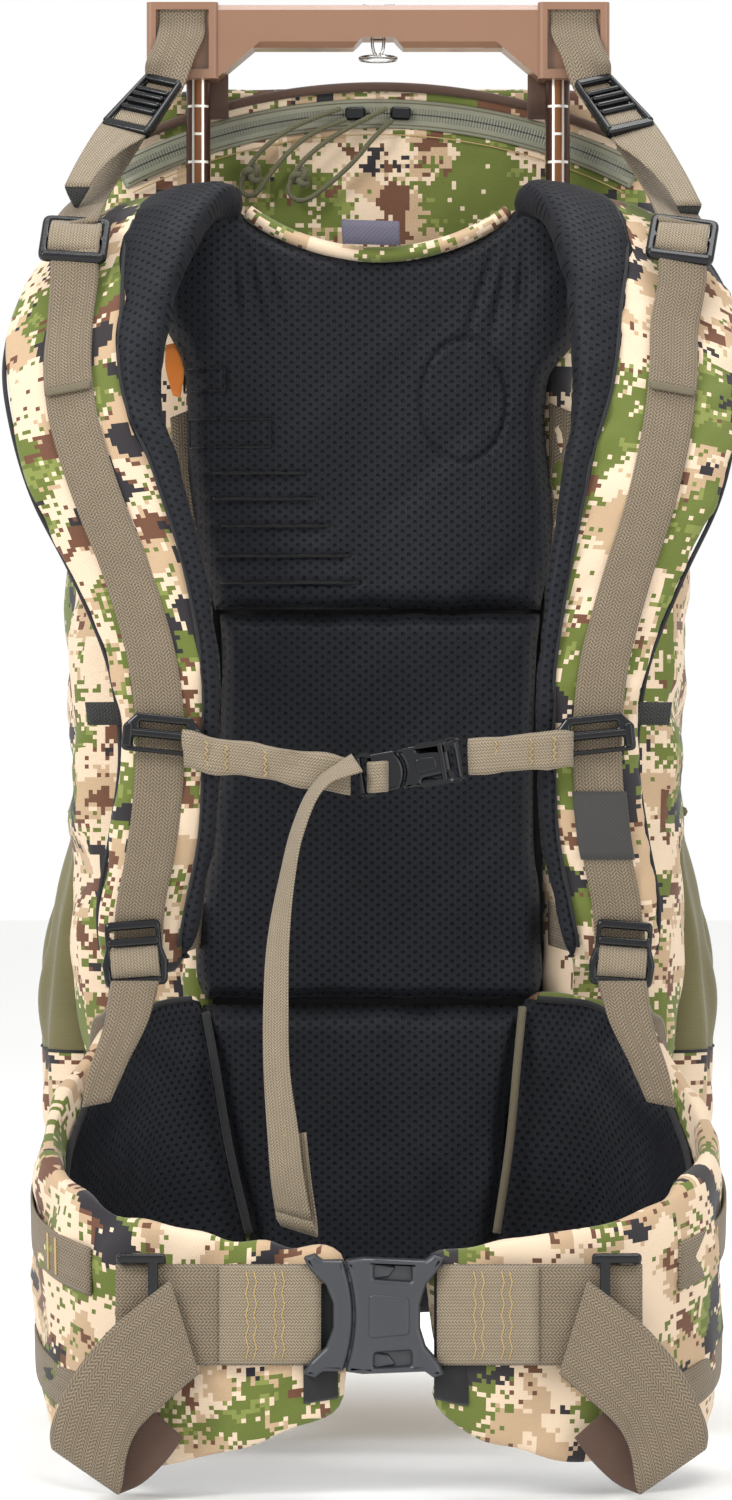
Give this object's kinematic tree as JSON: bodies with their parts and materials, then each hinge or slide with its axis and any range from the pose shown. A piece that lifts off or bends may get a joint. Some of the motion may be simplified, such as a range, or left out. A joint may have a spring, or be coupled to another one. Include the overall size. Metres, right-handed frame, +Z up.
{
  "type": "hunting backpack",
  "caption": "Large framed backpack with telescoping stays and crossbar, padded back panel, shoulder harness, sternum strap, padded hip belt and zipped bag.",
  "frame": {"origin": "under the middle of the whole pack, at the height of its lowest hanging strap", "axes": "+Z up along the back, -Y towards the wearer (harness side), +X to the right when looking at the harness"},
  "size_m": [0.3786, 0.5144, 0.7759],
  "materials": {
    "moulded_copper": "semi-gloss moulded plastic in copper brown",
    "anodised_tube": "copper-brown anodised tube with printed white scale",
    "steel_wire": "plain bright wire",
    "frame_alloy": "black anodised",
    "frame_sheet": "matte sheet",
    "harness_webbing": "ribbed coyote-brown webbing",
    "dark_webbing": "dark brown webbing",
    "black_acetal": "moulded black acetal, satin",
    "camo_fabric": null,
    "spacer_mesh": "black perforated spacer mesh",
    "stretch_fabric": "olive stretch weave",
    "zipper_tape": "grey-green coated zipper tape",
    "pull_cord": "braided olive cord"
  },
  "bodies": {
    "pack": {"back_pad": "spacer_mesh", "back_pocket": "camo_fabric", "bag_body": "camo_fabric", "compression_strap_lower": "harness_webbing", "compression_strap_upper": "harness_webbing", "frame_sheet": "frame_sheet", "hip_buckle_female": "black_acetal", "hip_tail_left": "harness_webbing", "hip_tail_right": "harness_webbing", "hip_webbing_right": "harness_webbing", "hip_wing_left": "camo_fabric", "hip_wing_right": "camo_fabric", "ladder_lock_left": "black_acetal", "ladder_lock_right": "black_acetal", "lifter_webbing_left": "harness_webbing", "lifter_webbing_right": "harness_webbing", "loop_lock_left": "black_acetal", "loop_lock_right": "black_acetal", "lower_crossmember": "frame_alloy", "lower_webbing_left": "harness_webbing", "lower_webbing_right": "harness_webbing", "lumbar_pad": "spacer_mesh", "shoulder_strap_left": "camo_fabric", "shoulder_strap_right": "camo_fabric", "shoulder_webbing_left": "harness_webbing", "shoulder_webbing_right": "harness_webbing", "side_pocket_left": "stretch_fabric", "side_pocket_right": "stretch_fabric", "stay_sleeve_left": "frame_alloy", "stay_sleeve_right": "frame_alloy", "triglide_left": "black_acetal", "triglide_right": "black_acetal", "yoke_pad": "spacer_mesh", "zipper": "zipper_tape"},
    "mast": {"crossbar": "moulded_copper", "stay_tube_left": "anodised_tube", "stay_tube_right": "anodised_tube", "lifter_loop_left": "harness_webbing", "lifter_loop_right": "harness_webbing", "lifter_buckle_left": "black_acetal", "lifter_buckle_right": "black_acetal", "lifter_tail_left": "harness_webbing", "lifter_tail_right": "harness_webbing", "bag_hanger_left": "dark_webbing", "bag_hanger_right": "dark_webbing"},
    "hanger": {"hanger": "steel_wire"},
    "sternum": {"sternum_slider_left": "black_acetal", "sternum_slider_right": "black_acetal", "sternum_webbing_right": "harness_webbing", "sternum_buckle_female": "black_acetal"},
    "sternum_plug": {"sternum_buckle_male": "black_acetal", "sternum_webbing_left": "harness_webbing", "sternum_tail": "harness_webbing"},
    "hip_plug": {"hip_buckle_male": "black_acetal", "hip_webbing_left": "harness_webbing"},
    "zip_pull_left": {"zip_slider_left": "black_acetal", "zip_cord_left": "pull_cord"},
    "zip_pull_right": {"zip_slider_right": "black_acetal", "zip_cord_right": "pull_cord"}
  },
  "joints": [
    {"name": "frame_telescope", "type": "slide", "parent": "pack", "child": "mast", "axis": [0, 0, 1], "range_m": [-0.028, 0.04], "deforming": ["lifter_webbing_left", "lifter_webbing_right", "lifter_tail_left", "lifter_tail_right", "bag_hanger_left", "bag_hanger_right"]},
    {"name": "hanger_swivel", "type": "hinge", "parent": "mast", "child": "hanger", "pos_m": [0, -0.04, 0.75], "axis": [0, 0, 1], "range_deg": [-90, 90]},
    {"name": "zip_left_travel", "type": "hinge", "parent": "pack", "child": "zip_pull_left", "pos_m": [0, -0.0216, 0.41], "axis": [0, -1, 0], "range_deg": [0, 19]},
    {"name": "zip_right_travel", "type": "hinge", "parent": "pack", "child": "zip_pull_right", "pos_m": [0, -0.0216, 0.41], "axis": [0, 1, 0], "range_deg": [0, 19]},
    {"name": "sternum_height", "type": "slide", "parent": "pack", "child": "sternum", "axis": [0, 0, 1], "range_m": [-0.025, 0.01]},
    {"name": "sternum_release", "type": "slide", "parent": "sternum", "child": "sternum_plug", "axis": [-0.9848, 0, -0.1736], "range_m": [0, 0.03]},
    {"name": "hip_release", "type": "slide", "parent": "pack", "child": "hip_plug", "axis": [-1, 0, 0], "range_m": [0, 0.035]}
  ]
}
